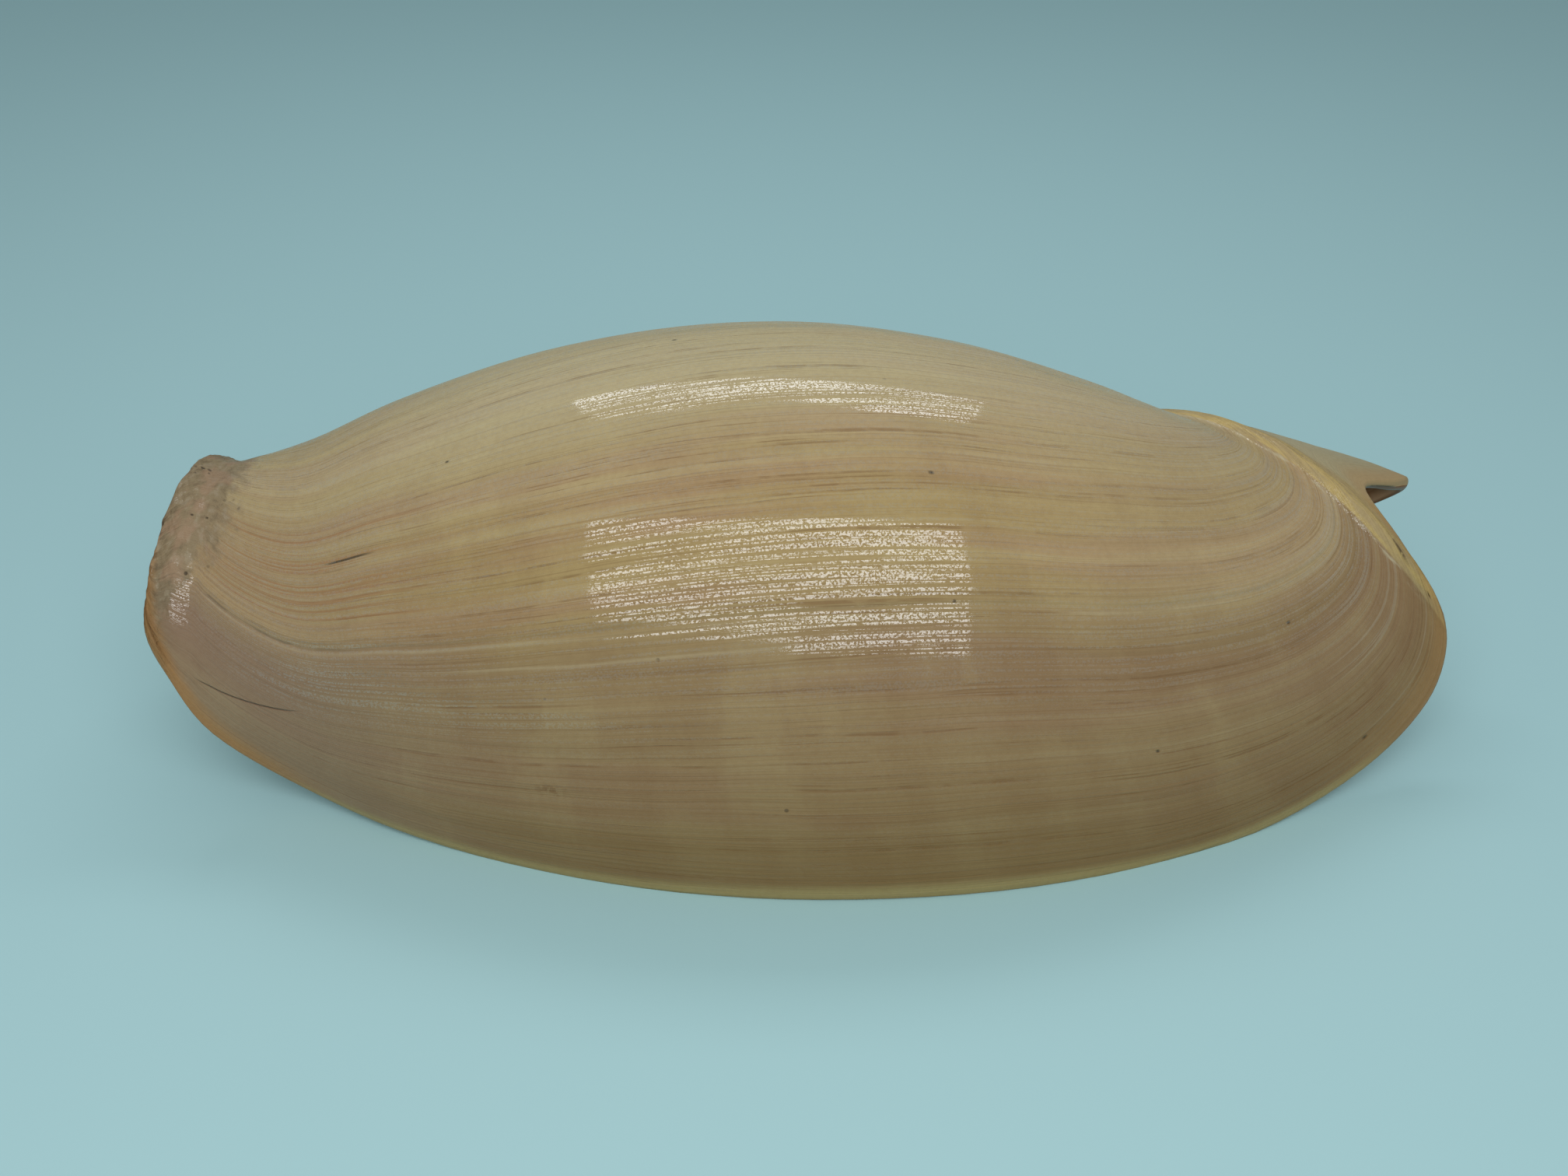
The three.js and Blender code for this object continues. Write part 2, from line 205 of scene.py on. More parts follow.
def shell_wall(line, back):
    """A closed thin wall over the rows of growth lines: its outside is the grown lip raised by the relief
    along the normal, its inside is the same surface set in by the wall along a softened normal, and both
    draw together in a half circle at the lip's edge. Returns the grid of points and of growth places."""
    surface, along = grown(line, back)
    run = np.r_[0, np.cumsum(np.linalg.norm(np.diff(grown(line, back[:1])[0][0], axis=0), axis=1))]
    across, growth = np.meshgrid(run, back)
    slope = np.gradient(surface, axis=1)
    normal = np.cross(slope, np.gradient(surface, back, axis=0))
    normal /= np.linalg.norm(normal, axis=2, keepdims=True) + 1e-9
    soft = normal.copy()
    for _ in range(14):
        soft[:, 1:-1] = (soft[:, :-2] + 2 * soft[:, 1:-1] + soft[:, 2:]) / 4
    soft /= np.linalg.norm(soft, axis=2, keepdims=True) + 1e-9
    # The growth marks bend towards the lip at the worn end
    bend = np.interp(across, [0, 30, 46, 60, 72, 79], [0.8, 0.8, 0.8, 0.26, 0.03, 0])
    age = (growth + bend * (1 - np.exp(-growth / 0.15))) * AGE_OF_RADIAN
    thick = wall_of_shell(across, growth)
    reach = np.clip(growth * 70 / (0.5 * thick), 0, 1)
    half = np.sqrt(1 - (1 - reach) ** 2)
    height = growth_relief(across, growth, age) * np.clip(growth / 0.02, 0, 1)
    outer = surface + normal * (height - 0.5 * thick * (1 - half))[..., None]
    inner = surface - soft * (0.5 * thick * (1 + half))[..., None]
    points = np.concatenate([outer, inner[:, ::-1]], axis=1)
    points[..., 2] = np.maximum(points[..., 2], 0)
    inside = in_the_mouth(along, line[None, :, 2] + np.degrees(growth) - 360)
    side = np.concatenate([inside, 2 - np.clip(1 - growth[:, ::-1] * 28, 0, 1)], axis=1)
    both = [np.concatenate([x, x[:, ::-1]], axis=1) for x in (across, age)]
    return points, np.stack([both[0], both[1], side], axis=2)


def shell_piece(name, corners, faces, material, growth=None):
    """A smooth mesh from corners in millimetres and faces that list them, with the place in the growth
    of each corner kept beside it."""
    mesh = bpy.data.meshes.new(name)
    mesh.from_pydata((corners / 1000).tolist(), [], faces)
    mesh.polygons.foreach_set("use_smooth", np.ones(len(mesh.polygons), bool))
    if growth is not None:
        place = mesh.attributes.new("growth", "FLOAT_VECTOR", "POINT")
        place.data.foreach_set("vector", growth.reshape(-1).astype(np.float32))
    mesh.update()
    mesh.materials.append(material)
    piece = bpy.data.objects.new(name, mesh)
    bpy.context.scene.collection.objects.link(piece)
    return piece


def closed_sweep(name, points, growth, material):
    """Four-sided faces over a grid whose columns run round a section and whose rows run along it. The
    first column follows the last, and the first and last rows are closed across the wall."""
    rows, columns = points.shape[:2]
    index = np.arange(rows * columns).reshape(rows, columns)
    a, b = index[:-1], np.roll(index, -1, axis=1)[:-1]
    c, d = np.roll(index, -1, axis=1)[1:], index[1:]
    faces = np.stack([a, b, c, d], axis=2).reshape(-1, 4)
    half = columns // 2
    turn = index[:, ::-1]
    first = np.stack([index[0, 1:half], index[0, :half - 1], turn[0, :half - 1], turn[0, 1:half]], 1)
    last = np.stack([index[-1, :half - 1], index[-1, 1:half], turn[-1, 1:half], turn[-1, :half - 1]], 1)
    faces = np.vstack([faces, first, last]).tolist()
    return shell_piece(name, points.reshape(-1, 3), faces, material, growth)


def add(tree, kind, sockets=None, **settings):
    """A node with its settings made and its sockets joined to others or set."""
    made = tree.nodes.new(kind)
    for name, value in settings.items():
        setattr(made, name, value)
    for name, value in (sockets or {}).items():
        if isinstance(value, bpy.types.NodeSocket):
            tree.links.new(value, made.inputs[name])
        else:
            made.inputs[name].default_value = value
    return made


def calc(tree, operation, a, b=0.0):
    """One step of arithmetic on sockets or numbers."""
    return add(tree, "ShaderNodeMath", {0: a, 1: b}, operation=operation).outputs[0]


def times(tree, *values):
    """The product of all the values."""
    product = values[0]
    for value in values[1:]:
        product = calc(tree, "MULTIPLY", product, value)
    return product


def fade(tree, value, low, high, to_low=0.0, to_high=1.0):
    """A smooth change from to_low to to_high while the value goes from low to high."""
    sockets = {"Value": value, "From Min": low, "From Max": high, "To Min": to_low, "To Max": to_high}
    return add(tree, "ShaderNodeMapRange", sockets, interpolation_type="SMOOTHSTEP").outputs[0]


def between(tree, value, start, full, last, end):
    """One while the value is between full and last, fading to nothing at the start and at the end."""
    return times(tree, fade(tree, value, start, full), fade(tree, value, end, last))


def hill(tree, value, centre, width):
    """One at the centre, and nothing further than the width from it."""
    away = calc(tree, "ABSOLUTE", calc(tree, "SUBTRACT", value, centre))
    return fade(tree, away, 0.0, width, 1.0, 0.0)


def grain(tree, x, y, across, along, seed, detail=2.0, rough=0.55):
    """Noise over two coordinates, with so many changes to the millimetre along each."""
    place = add(tree, "ShaderNodeCombineXYZ", {
        0: calc(tree, "MULTIPLY", x, across), 1: calc(tree, "MULTIPLY", y, along), 2: seed})
    sockets = {"Vector": place.outputs[0], "Scale": 1.0, "Detail": detail, "Roughness": rough}
    return add(tree, "ShaderNodeTexNoise", sockets).outputs[0]


def wavering(tree, value, x, y, across, along, seed, size, detail=2.0):
    """The value moved up or down, by up to half the size, by noise over two coordinates."""
    off = calc(tree, "SUBTRACT", grain(tree, x, y, across, along, seed, detail), 0.5)
    return calc(tree, "ADD", value, times(tree, off, size))


def speckle(tree, body, scale, detail):
    """Noise through the shell's own space, with so many changes to the metre."""
    return add(tree, "ShaderNodeTexNoise", {"Vector": body, "Scale": scale, "Detail": detail}).outputs[0]


def pores(tree, body, scale):
    """The distance to the nearest of points scattered through the shell's own space."""
    made = add(tree, "ShaderNodeTexVoronoi", {"Vector": body, "Scale": scale}, feature="F1")
    return made.outputs["Distance"]


def blend(tree, factor, under, over):
    """Two colours mixed: under at 0 and over at 1."""
    made = add(tree, "ShaderNodeMix", data_type="RGBA")
    for socket, value in ((made.inputs[0], factor), (made.inputs[6], under), (made.inputs[7], over)):
        if isinstance(value, bpy.types.NodeSocket):
            tree.links.new(value, socket)
        elif isinstance(value, tuple):
            socket.default_value = (*value, 1)
        else:
            socket.default_value = value
    return made.outputs[2]


def paint(tree, colour, over, *masks):
    """The colour with another laid over it, as far as the product of the masks goes."""
    return blend(tree, times(tree, *masks), colour, over)


def fresh_material(name):
    """A new material, with its nodes and its shader."""
    material = bpy.data.materials.new(name)
    material.use_nodes = True
    return material, material.node_tree, material.node_tree.nodes["Principled BSDF"]


def relieve(tree, shader, height, distance, strength=1.0):
    """Relief too fine for the mesh: the height times a distance in metres, shown in the shading."""
    bump = add(tree, "ShaderNodeBump", {"Strength": strength, "Distance": distance, "Height": height})
    tree.links.new(bump.outputs[0], shader.inputs["Normal"])


def growth_marks():
    """Lines and bands that follow the growth: broken dark hairlines about a millimetre apart, fine ribs,
    broad tan bands and faint patches that run across them, all from the place in the growth."""
    group = bpy.data.node_groups.new("growth marks", "ShaderNodeTree")
    for name, way in (
        ("Across", "INPUT"), ("Age", "INPUT"),
        ("Hairlines", "OUTPUT"), ("Bands", "OUTPUT"), ("Patches", "OUTPUT"), ("Ribs", "OUTPUT"),
    ):
        group.interface.new_socket(name, in_out=way, socket_type="NodeSocketFloat")
    given = add(group, "NodeGroupInput").outputs
    x, y = given["Across"], given["Age"]
    y = wavering(group, y, x, y, 0.015, 0.04, 1.3, 3.0)
    hair = fade(group, grain(group, x, y, 0.010, 1.15, 2.7, 2.0), 0.41, 0.33)
    broken = fade(group, grain(group, x, y, 0.10, 0.30, 3.1, 3.0), 0.42, 0.58)
    thin = fade(group, grain(group, x, y, 0.008, 2.7, 5.2, 1.0), 0.42, 0.32)
    hair = times(group, hair, calc(group, "ADD", 0.25, times(group, broken, 0.75)))
    hair = calc(group, "MAXIMUM", hair, times(group, thin, 0.45))
    bands = grain(group, x, y, 0.004, 0.20, 4.9, 4.0, 0.66)
    patches = grain(group, x, y, 0.05, 0.02, 6.6, 4.0)
    broad = times(group, grain(group, x, y, 0.012, 0.9, 8.2, 2.0), 0.6)
    ribs = calc(group, "ADD", broad, times(group, grain(group, x, y, 0.02, 2.6, 9.4, 1.0), 0.4))
    add(group, "NodeGroupOutput", {"Hairlines": hair, "Bands": bands, "Patches": patches, "Ribs": ribs})
    return group


# The outside of the shell, golden tan and peach, and browner below the line where growth stopped
TAN = (0.405, 0.284, 0.124)
DEEP_TAN = (0.300, 0.182, 0.078)
CREAM = (0.500, 0.392, 0.200)
PEACHY = (0.400, 0.250, 0.138)
PINKISH = (0.305, 0.203, 0.100)
PINKISH_CREAM = (0.365, 0.265, 0.138)
PINKISH_PEACH = (0.300, 0.185, 0.100)
PINKISH_DEEP = (0.225, 0.138, 0.066)
BLEACHED = (0.570, 0.492, 0.300)
RED_BROWN = (0.185, 0.090, 0.036)
BLACKISH = (0.045, 0.034, 0.026)
WHITISH = (0.600, 0.530, 0.360)
CREASE_GREY = (0.105, 0.085, 0.055)
# Towards the worn end and the notch, and along the lip
END_PINK = (0.375, 0.262, 0.158)
YOUNG_END_PINK = (0.300, 0.205, 0.140)
MAUVE = (0.260, 0.155, 0.110)
RUST = (0.330, 0.130, 0.050)
SCRATCH_BROWN = (0.110, 0.055, 0.036)
NOTCH_CREAM = (0.500, 0.385, 0.225)
GREY_LINE = (0.430, 0.370, 0.270)
TIP_CREAM = (0.490, 0.425, 0.260)
CORD_TAN = (0.490, 0.370, 0.185)
CORD_YELLOW = (0.600, 0.445, 0.180)
# Darker amber along the lip: partly the lip's own colour, partly painted shade
LIP_AMBER_AND_SHADE = (0.170, 0.100, 0.026)
LIP_OLIVE = (0.430, 0.350, 0.150)
MARGIN_ORANGE = (0.420, 0.205, 0.062)
# The keel
WORN = (0.255, 0.195, 0.122)
WORN_PALE = (0.380, 0.300, 0.205)
WORN_DARK = (0.165, 0.120, 0.072)
WORN_PINK = (0.370, 0.235, 0.150)
EDGE_DARK = (0.075, 0.045, 0.024)
# The glaze inside the mouth
ORANGE = (0.420, 0.110, 0.022)
AMBER = (0.230, 0.080, 0.018)
PEACH = (0.560, 0.350, 0.210)
PALE_GREY = (0.500, 0.470, 0.380)
NOTCH_BROWN = (0.190, 0.085, 0.026)
BLUNT_TAN = (0.400, 0.300, 0.150)
# Single dark pits: millimetres across the lip, age, and size
PITS = [
    (62.7, 97.0, 1.0), (71.4, 97.5, 0.8), (48.0, 100.0, 1.2), (391.7, 9.0, 0.9), (351.6, 10.5, 0.8),
    (268.6, 92.9, 0.7), (219.7, 150.8, 0.8), (345.0, 52.0, 0.6), (300.0, 30.0, 0.5), (150.0, 118.0, 0.6),
]


def shell_material():
    """The wall's own colours outside, where the growth marks show, and the smooth glaze inside."""
    material, tree, shader = fresh_material("weathered shell")
    place = add(tree, "ShaderNodeAttribute", attribute_name="growth")
    parts = add(tree, "ShaderNodeSeparateXYZ", {0: place.outputs["Vector"]}).outputs
    x, y, side = parts[0], parts[1], parts[2]
    lines = add(tree, "ShaderNodeGroup", node_tree=growth_marks())
    tree.links.new(x, lines.inputs["Across"])
    tree.links.new(y, lines.inputs["Age"])
    hair, bands = lines.outputs["Hairlines"], lines.outputs["Bands"]
    patches, ribs = lines.outputs["Patches"], lines.outputs["Ribs"]
    body = add(tree, "ShaderNodeTexCoord").outputs["Object"]
    fine = speckle(tree, body, 900.0, 3.0)

    # Broad bands, browner and pinker on the part that grew after the stop
    young = fade(tree, wavering(tree, y, x, y, 0.02, 0.05, 7.7, 14.0), 74.0, 50.0)
    blush = fade(tree, grain(tree, x, y, 0.007, 0.055, 23.0, 3.0), 0.44, 0.58)
    pale_bands, deep_bands = fade(tree, bands, 0.50, 0.66), fade(tree, bands, 0.48, 0.34)
    colour = blend(tree, young, TAN, PINKISH)
    colour = paint(tree, colour, blend(tree, young, PEACHY, PINKISH_PEACH), blush, 0.65)
    colour = paint(tree, colour, blend(tree, young, CREAM, PINKISH_CREAM), pale_bands, 0.42)
    colour = paint(tree, colour, blend(tree, young, DEEP_TAN, PINKISH_DEEP), deep_bands, 0.32)
    colour = paint(tree, colour, RED_BROWN, fade(tree, patches, 0.50, 0.62), 0.13)
    colour = paint(tree, colour, CREAM, fade(tree, patches, 0.46, 0.34), 0.13)
    # Paler towards the top, where it is older and bleached
    bleached = times(tree, fade(tree, y, 85.0, 140.0), fade(tree, x, 95.0, 180.0, 0.35, 0.72))
    colour = paint(tree, colour, BLEACHED, bleached)
    colour = paint(tree, colour, RED_BROWN, hair, 0.50)

    # The line where growth stopped: a dark crease at the worn end, then broken whitish streaks
    wander = wavering(tree, y, x, y, 0.03, 0.02, 11.0, 1.6)
    worn_end = fade(tree, x, 165.0, 85.0)
    pale = fade(tree, grain(tree, x, y, 0.02, 0.35, 13.0), 0.46, 0.60)
    torn = fade(tree, grain(tree, x, y, 0.12, 0.5, 33.0, 3.0), 0.36, 0.50)
    crease = calc(tree, "MAXIMUM", times(tree, fade(tree, x, 135.0, 95.0), torn), times(tree, pale, 0.2))
    chalk = times(tree, between(tree, x, 94.0, 112.0, 150.0, 210.0), 0.32)
    chalk = calc(tree, "MAXIMUM", times(tree, pale, 0.4), chalk)
    chalk = calc(tree, "MAXIMUM", times(tree, pale, worn_end, 0.6), chalk)
    colour = paint(tree, colour, CORD_YELLOW, hill(tree, wander, 66.5, 5.0), worn_end, 0.30)
    colour = paint(tree, colour, CREASE_GREY, hill(tree, wander, 62.8, 1.0), crease, 0.88)
    colour = paint(tree, colour, CREASE_GREY, hill(tree, wander, 65.0, 0.7), crease, torn, 0.55)
    colour = paint(tree, colour, WHITISH, hill(tree, wander, 61.3, 0.9), chalk, 0.75)
    earlier = times(tree, hill(tree, wander, EARLIER_STOP, 0.7), between(tree, x, 130.0, 160.0, 205.0, 235.0))
    colour = paint(tree, colour, WHITISH, earlier, 0.22)

    # Pinker, with rust and mauve streaks, near the worn end
    colour = paint(tree, colour, blend(tree, young, END_PINK, YOUNG_END_PINK),
                   fade(tree, x, 170.0, 90.0), fade(tree, y, 135.0, 95.0), 0.50)
    rust = times(tree, between(tree, x, 66.0, 90.0, 115.0, 160.0), between(tree, y, 64.0, 70.0, 100.0, 118.0),
                 fade(tree, grain(tree, x, y, 0.012, 0.8, 15.0), 0.50, 0.60))
    colour = paint(tree, colour, RUST, rust, 0.42)
    bruise = times(tree, between(tree, x, 50.0, 66.0, 85.0, 130.0), hill(tree, y, 42.0, 22.0))
    colour = paint(tree, colour, MAUVE, bruise, 0.45)

    # A scratch that slants across the growth lines, a crack and a chip
    slant = calc(tree, "ADD", times(tree, calc(tree, "SUBTRACT", x, 76.0), 0.56), 22.0)
    scratch = times(tree, hill(tree, calc(tree, "SUBTRACT", y, slant), 0.0, 0.55),
                    between(tree, x, 72.0, 80.0, 98.0, 106.0))
    colour = paint(tree, colour, SCRATCH_BROWN, scratch, 0.65)
    crack = times(tree, hill(tree, wander, 92.6, 0.5), between(tree, x, 112.0, 117.0, 123.0, 130.0))
    colour = paint(tree, colour, BLACKISH, crack, 0.85)
    chip = times(tree, hill(tree, x, 166.0, 5.0), hill(tree, y, 25.5, 2.6), fade(tree, fine, 0.4, 0.6))
    colour = paint(tree, colour, RED_BROWN, chip, 0.6)

    # Paler towards the notch, where some of the gathered lines are grey-white, and the cord is yellow
    colour = paint(tree, colour, NOTCH_CREAM, fade(tree, x, 255.0, 330.0), fade(tree, y, 45.0, 70.0), 0.30)
    gather = times(tree, between(tree, x, 340.0, 366.0, 384.0, 394.0),
                   fade(tree, grain(tree, x, y, 0.012, 0.55, 17.0, 2.0), 0.56, 0.62))
    colour = paint(tree, colour, GREY_LINE, gather, 0.30)
    colour = paint(tree, colour, TIP_CREAM, fade(tree, x, 412.0, 422.0), 0.85)
    cord = times(tree, between(tree, x, 387.0, 389.0, 412.0, 424.0), fade(tree, y, 0.3, 3.0))
    streak = fade(tree, grain(tree, x, y, 0.12, 0.05, 35.0, 3.0), 0.42, 0.58)
    colour = paint(tree, colour, blend(tree, streak, CORD_TAN, CORD_YELLOW), cord, 0.85)
    frayed = times(tree, hill(tree, x, 386.6, 1.9), fade(tree, y, 12.0, 30.0),
                   fade(tree, grain(tree, x, y, 0.3, 0.10, 39.0, 3.0), 0.46, 0.60))
    colour = paint(tree, colour, WHITISH, frayed, 0.65)
    broken_off = times(tree, hill(tree, x, 396.5, 4.5), hill(tree, y, 20.0, 4.0),
                       fade(tree, fine, 0.38, 0.52))
    colour = paint(tree, colour, BLACKISH, broken_off, 0.9)

    # The keel, worn to a lumpy grey-brown with a ragged edge
    ragged = wavering(tree, x, x, y, 0.16, 0.13, 27.0, 26.0, 4.0)
    reach = fade(tree, y, 40.0, 98.0, 57.0, 79.0)
    past_reach = calc(tree, "SUBTRACT", ragged, reach)
    keel = times(tree, fade(tree, x, 30.0, 42.0), fade(tree, past_reach, 6.0, -4.0))
    lumps = grain(tree, x, y, 0.22, 0.16, 29.0, 4.0)
    flush = fade(tree, grain(tree, x, y, 0.07, 0.05, 37.0, 2.0), 0.48, 0.60)
    colour = paint(tree, colour, WORN, keel, 0.75)
    colour = paint(tree, colour, WORN_PALE, keel, fade(tree, lumps, 0.50, 0.62), 0.55)
    colour = paint(tree, colour, WORN_DARK, keel, fade(tree, lumps, 0.46, 0.34), 0.50)
    colour = paint(tree, colour, WORN_PINK, keel, flush, 0.60)
    edge = times(tree, between(tree, x, 36.0, 42.0, 47.0, 53.0), fade(tree, y, 125.0, 100.0, 0.15, 0.80),
                 fade(tree, grain(tree, x, y, 0.06, 0.11, 31.0, 4.0), 0.47, 0.55))
    colour = paint(tree, colour, EDGE_DARK, edge)

    # Dark pits on the keel, the single ones, and tiny pinholes anywhere
    rare = speckle(tree, body, 110.0, 2.0)
    pits = times(tree, keel, fade(tree, pores(tree, body, 420.0), 0.24, 0.10), fade(tree, rare, 0.54, 0.62))
    for across, age, size in PITS:
        spot = times(tree, hill(tree, x, across, size * 1.4), hill(tree, y, age, size))
        pits = calc(tree, "MAXIMUM", pits, spot)
    colour = paint(tree, colour, BLACKISH, pits, 0.9)
    pinholes = times(tree, fade(tree, pores(tree, body, 75.0), 0.045, 0.02), fade(tree, rare, 0.50, 0.56))
    colour = paint(tree, colour, BLACKISH, pinholes, 0.7)

    # Thinner towards the lip, which lets amber and orange through, most of all at its two ends. The darker
    # amber towards the lip is partly that and partly painted shade on the lower part of the shell.
    amber_and_shade = times(tree, between(tree, x, 110.0, 160.0, 300.0, 380.0), 0.30)
    amber_and_shade = calc(tree, "ADD", fade(tree, x, 100.0, 200.0, 0.0, 0.25), amber_and_shade)
    # Painted shade, partly the lip's own amber: darker amber towards the lip
    colour = paint(tree, colour, LIP_AMBER_AND_SHADE, fade(tree, y, 40.0, 3.0), amber_and_shade)
    olive = times(tree, fade(tree, y, 5.0, 2.0), between(tree, x, 88.0, 110.0, 345.0, 365.0))
    colour = paint(tree, colour, LIP_OLIVE, olive, 0.60)
    near_lip = times(tree, y, fade(tree, x, 46.0, 86.0, 0.12, 1.0))
    near_lip = calc(tree, "ADD", near_lip, times(tree, bands, 6.0))
    left = times(tree, fade(tree, near_lip, 16.0, 8.0), fade(tree, x, 118.0, 84.0), 0.85)
    right = times(tree, fade(tree, y, 16.0, 3.0), fade(tree, x, 330.0, 372.0), 0.45)
    ends = calc(tree, "MAXIMUM", left, right)
    ends = calc(tree, "MAXIMUM", ends, times(tree, fade(tree, y, 1.0, 0.4), 0.5))
    colour = paint(tree, colour, MARGIN_ORANGE, ends, 0.75)
    colour = paint(tree, colour, RED_BROWN, fade(tree, fine, 0.35, 0.70), 0.10)

    # The glaze: orange in the middle, grey-white at the spire's end and peach at the notch
    cloud = speckle(tree, body, 28.0, 4.0)
    glaze = blend(tree, fade(tree, x, 190.0, 110.0), ORANGE, PALE_GREY)
    glaze = paint(tree, glaze, PEACH, fade(tree, x, 300.0, 390.0))
    glaze = paint(tree, glaze, NOTCH_BROWN, fade(tree, x, 398.0, 420.0))
    glaze = paint(tree, glaze, AMBER, fade(tree, cloud, 0.45, 0.68), 0.55)
    glaze = paint(tree, glaze, PEACH, fade(tree, bands, 0.50, 0.64), 0.25)
    glaze = paint(tree, glaze, PEACH, fade(tree, y, 14.0, 1.0), fade(tree, side, 0.9, 1.0), 0.7)
    blunt = blend(tree, fade(tree, cloud, 0.48, 0.56), BLUNT_TAN, RED_BROWN)
    glaze = paint(tree, glaze, blunt, fade(tree, x, 422.0, 432.0), fade(tree, y, 4.0, 1.5))
    within = fade(tree, side, 0.15, 1.0)
    tree.links.new(blend(tree, within, colour, glaze), shader.inputs["Base Color"])

    # Polished in streaks between the ribs, chalky on the keel, duller near the lip, and glazed inside
    streaks = fade(tree, grain(tree, x, y, 0.014, 1.6, 19.0, 3.0), 0.52, 0.46)
    grit = speckle(tree, body, 2300.0, 2.0)
    kept = calc(tree, "SUBTRACT", 1.0, times(tree, keel, fade(tree, lumps, 0.58, 0.54)))
    kept = times(tree, kept, fade(tree, keel, 0.0, 1.0, 1.0, 0.22), fade(tree, y, 32.0, 54.0, 0.12, 0.9))
    kept = times(tree, kept, fade(tree, x, 382.0, 390.0, 1.0, 0.15), fade(tree, within, 0.0, 1.0, 1.0, 0.3))
    polish = times(tree, streaks, fade(tree, grit, 0.56, 0.44), kept)
    glazed = times(tree, within, fade(tree, x, 415.0, 430.0, 0.26, 0.05))
    tree.links.new(calc(tree, "MAXIMUM", polish, glazed), shader.inputs["Coat Weight"])
    shader.inputs["Coat Roughness"].default_value = 0.06
    shader.inputs["Coat IOR"].default_value = 2.4
    shader.inputs["Specular IOR Level"].default_value = 0.12
    dullness = calc(tree, "ADD", 0.50, times(tree, hair, 0.15))
    dullness = calc(tree, "ADD", dullness, times(tree, within, -0.2))
    tree.links.new(dullness, shader.inputs["Roughness"])

    # Fine relief: ribs and grit, hairlines cut in, lumps on the keel, and the pits, scratch and crack
    cut = calc(tree, "ADD", pits, calc(tree, "ADD", scratch, crack))
    depth = calc(tree, "ADD", ribs, times(tree, grit, 0.05))
    depth = calc(tree, "SUBTRACT", depth, times(tree, hair, 0.2))
    depth = calc(tree, "ADD", depth, times(tree, keel, lumps, 2.2))
    depth = calc(tree, "SUBTRACT", depth, times(tree, cut, 1.5))
    depth = calc(tree, "SUBTRACT", depth, times(tree, hill(tree, wander, 62.6, 1.2), 0.6))
    relieve(tree, shader, times(tree, depth, fade(tree, within, 0.0, 1.0, 1.0, 0.12)), 0.00018)
    return material


weathered = shell_material()
fine_line = softened(smooth_line(LIP, 6), 41, 7, 14)
# Growth lines in radians of coiling: close at the lip's edge, then further apart the older they are
rows_back = np.r_[0, 0.0012, 0.004, 0.009, 0.016, 0.026, 0.04, np.arange(0.056, 4.6, 0.019)]
rows_back = np.r_[rows_back, np.arange(rows_back[-1] + 0.033, 8.6, 0.038)]
points, growth = shell_wall(fine_line, rows_back)
last_whorl = closed_sweep("last_whorl", points, growth, weathered)
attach(last_whorl, "root")
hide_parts("shell")


# The older coils: the same wall, grown before the last whorl and mostly hidden by it. They show in
# the sunken spire, where each coil stands a little deeper than the next.

points, growth = shell_wall(smooth_line(LIP, 5), np.arange(8.45, 14.6, 0.06))
old_coils = closed_sweep("old_coils", points, growth, weathered)
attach(old_coils, "root")


# The columella: the pillar that the coils wind round, glazed peach, with slanting folds. It ends in
# a slanting amber tip beside the siphonal notch.

# Millimetres along the axis: where the pillar starts, and the middle of its slanting end
PILLAR_START = -60
PILLAR_END = 100
FOLD_HEIGHT = 2.2
DEEP_PEACH = (0.500, 0.270, 0.130)
FOLD_CREAM = (0.680, 0.560, 0.400)


def columella_surface(around, steps):
    """A cone round the axis that widens with the coils, plus folds that run round it as the coils do,
    rounded off at a slanting end by a quarter circle, over the angle round it and the way along it.
    Returns the points, and how far along, how much on a fold and how far from the end each one is."""
    angle = np.arange(around) / around * 2 * np.pi
    end = PILLAR_END + 40 * np.cos(angle - np.radians(50))
    t = (np.arange(steps) / steps)[:, None]
    along = PILLAR_START + (end - PILLAR_START) * (1 - (1 - t) ** 1.5)
    reach = (along - APEX) / (125 - APEX)
    phase = np.log(reach) / SHORTENING + angle
    fold = (0.5 + 0.5 * np.cos(12 * phase)) ** 2 * bump_at(along, 75, 38)
    cap = np.minimum(1, (end - along) / 16)
    radius = (16 * reach ** (NARROWING / SHORTENING) + FOLD_HEIGHT * fold) * np.sqrt(1 - (1 - cap) ** 2)
    points = placed(along, radius, angle + 0 * along)
    points[..., 2] = np.maximum(points[..., 2], 0)
    return points, np.stack([along, fold, cap], axis=2)


def closed_rings(name, rings, start, end, material, growth=None):
    """Four-sided faces over rings of points round the coiling axis, closed at both ends by triangles to
    a point on the axis, so far along it."""
    count, around = rings.shape[:2]
    index = np.arange(count * around).reshape(count, around)
    following = np.roll(index, -1, axis=1)
    quads = np.stack([index[:-1], index[1:], following[1:], following[:-1]], axis=2).reshape(-1, 4)
    pole = np.full(around, count * around)
    bottom = np.stack([pole, index[0], following[0]], axis=1)
    top = np.stack([pole + 1, following[-1], index[-1]], axis=1)
    poles = placed(np.array([start, end], float), np.zeros(2), np.zeros(2))
    corners = np.vstack([rings.reshape(-1, 3), poles])
    return shell_piece(name, corners, quads.tolist() + bottom.tolist() + top.tolist(), material, growth)


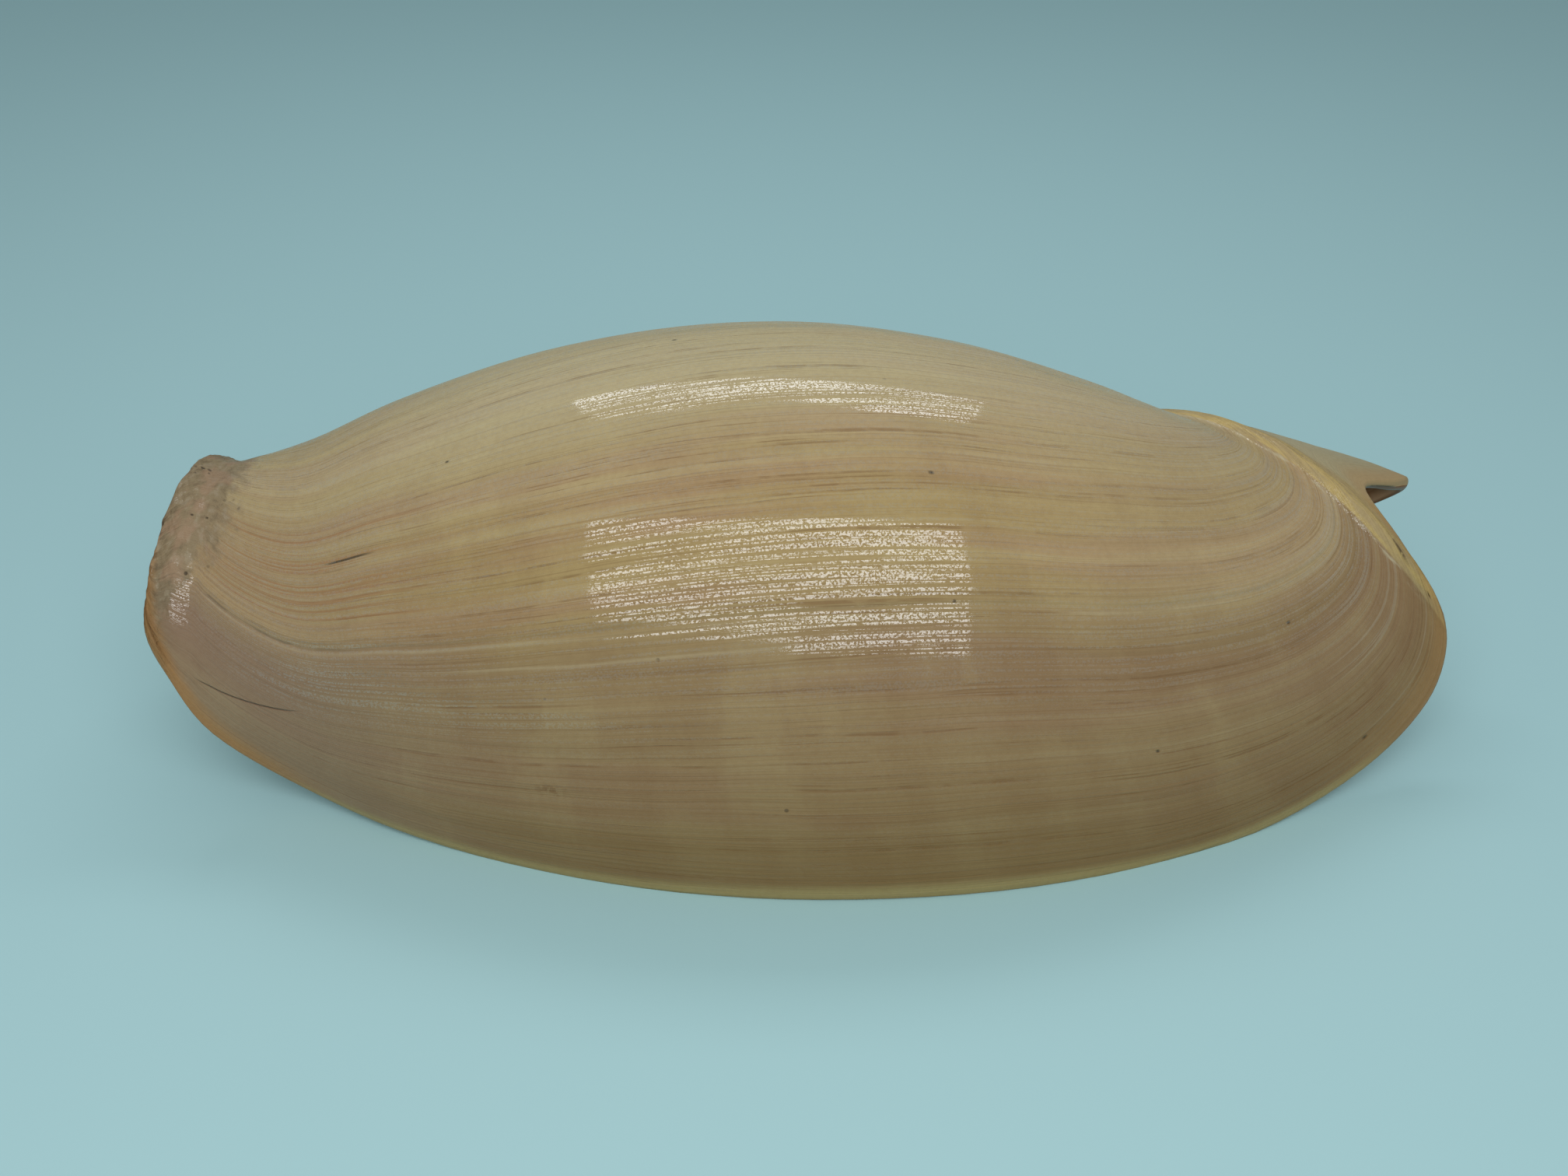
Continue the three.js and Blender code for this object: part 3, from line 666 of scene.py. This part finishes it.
def columella_material():
    """Smooth glaze, peach with paler folds, and amber to brown at the tip."""
    material, tree, shader = fresh_material("columella glaze")
    place = add(tree, "ShaderNodeAttribute", attribute_name="growth")
    parts = add(tree, "ShaderNodeSeparateXYZ", {0: place.outputs["Vector"]}).outputs
    along, fold, cap = parts[0], parts[1], parts[2]
    cloud = speckle(tree, add(tree, "ShaderNodeTexCoord").outputs["Object"], 45.0, 4.0)
    colour = blend(tree, fade(tree, cloud, 0.35, 0.65), PEACH, DEEP_PEACH)
    colour = paint(tree, colour, ORANGE, fade(tree, along, 40.0, -20.0), 0.8)
    colour = paint(tree, colour, FOLD_CREAM, fade(tree, fold, 0.15, 0.8), 0.8)
    colour = paint(tree, colour, AMBER, fade(tree, cap, 0.75, 0.2), 0.9)
    tree.links.new(colour, shader.inputs["Base Color"])
    tree.links.new(fade(tree, cloud, 0.3, 0.7, 0.14, 0.26), shader.inputs["Roughness"])
    relieve(tree, shader, cloud, 0.0001, 0.6)
    return material


rings, places = columella_surface(180, 220)
places = np.vstack([places.reshape(-1, 3), [(PILLAR_START, 0, 1), (PILLAR_END, 0, 0)]])
columella = closed_rings("columella", rings, PILLAR_START, PILLAR_END, columella_material(), places)
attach(columella, "root")


# The bulb that the shell began with, at the bottom of the sunken spire: smooth, chalky and pale,
# on the thin core that the first coils wind round.

# Millimetres: the ball's radius, its middle along the axis, and the core's radius and end
BALL = 7
BALL_MIDDLE = -101.5
CORE = 2
CORE_END = -35


def bulb_surface(around, steps):
    """A ball round the axis, three quarters of a half circle of it, then a cone down to the thin core,
    over the angle round the axis and the way along the profile."""
    bend = np.linspace(0.02, 0.75, steps) * np.pi
    along = np.r_[BALL_MIDDLE - BALL * np.cos(bend), CORE_END]
    radius = np.r_[BALL * np.sin(bend), CORE]
    angle = np.arange(around) / around * 2 * np.pi
    return placed(along[:, None] + 0 * angle, radius[:, None] + 0 * angle, angle + 0 * along[:, None])


material, tree, shader = fresh_material("chalky bulb")
cloud = speckle(tree, add(tree, "ShaderNodeTexCoord").outputs["Object"], 160.0, 5.0)
tree.links.new(blend(tree, fade(tree, cloud, 0.35, 0.65), WORN, CREAM), shader.inputs["Base Color"])
tree.links.new(fade(tree, cloud, 0.3, 0.7, 0.4, 0.6), shader.inputs["Roughness"])
relieve(tree, shader, cloud, 0.0002, 0.8)
first_bulb = closed_rings("first_bulb", bulb_surface(64, 40), BALL_MIDDLE - BALL, CORE_END, material)
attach(first_bulb, "root")


# The table: a plain pale surface, cool in colour, that the shell lies on.

TABLE_BLUE = (0.43, 0.67, 0.71, 1)

mesh = bpy.data.meshes.new("table")
mesh.from_pydata([(-4, -4, 0), (4, -4, 0), (4, 4, 0), (-4, 4, 0)], [], [(0, 1, 2, 3)])
material, tree, shader = fresh_material("pale table")
shader.inputs["Base Color"].default_value = TABLE_BLUE
shader.inputs["Roughness"].default_value = 0.7
mesh.materials.append(material)
table = bpy.data.objects.new("table", mesh)
bpy.context.scene.collection.objects.link(table)


# The lights: a broad soft panel above the lip's side, a narrow one behind, and pale light all round.

WARM_WHITE = (1.0, 0.985, 0.96)
ROOM_LIGHT = (0.80, 0.93, 0.95, 1)


def panel(name, place, towards, width, height, power, tint):
    """A flat soft light that faces a point."""
    lamp = bpy.data.lights.new(name, "AREA")
    lamp.shape = "RECTANGLE"
    lamp.size = width
    lamp.size_y = height
    lamp.energy = power
    lamp.color = tint
    made = bpy.data.objects.new(name, lamp)
    made.location = place
    made.rotation_euler = (Vector(towards) - Vector(place)).to_track_quat("-Z", "Y").to_euler()
    bpy.context.scene.collection.objects.link(made)


panel("front panel", (-0.01, -0.458, 0.505), (-0.01, -0.04, 0.065), 0.66, 0.50, 2.6, WARM_WHITE)
panel("back panel", (0.0, 0.34, 0.61), (0.0, 0.0, 0.08), 0.58, 0.16, 0.8, (1.0, 1.0, 1.0))
bpy.context.scene.view_settings.view_transform = "Standard"
world = bpy.data.worlds.new("pale room")
world.use_nodes = True
world.node_tree.nodes["Background"].inputs["Color"].default_value = ROOM_LIGHT
world.node_tree.nodes["Background"].inputs["Strength"].default_value = 0.36
bpy.context.scene.world = world


# The camera stands close to the shell and a little above it, and looks down at the lip's side.

lens = bpy.data.cameras.new("camera")
lens.sensor_width = 36
lens.sensor_fit = "HORIZONTAL"
lens.lens = 36.607
lens.clip_start = 0.01
camera = bpy.data.objects.new("camera", lens)
camera.location = (-0.0081, -0.2996, 0.2378)
camera.rotation_euler = (np.radians(56), 0, 0)
bpy.context.scene.collection.objects.link(camera)
bpy.context.scene.camera = camera
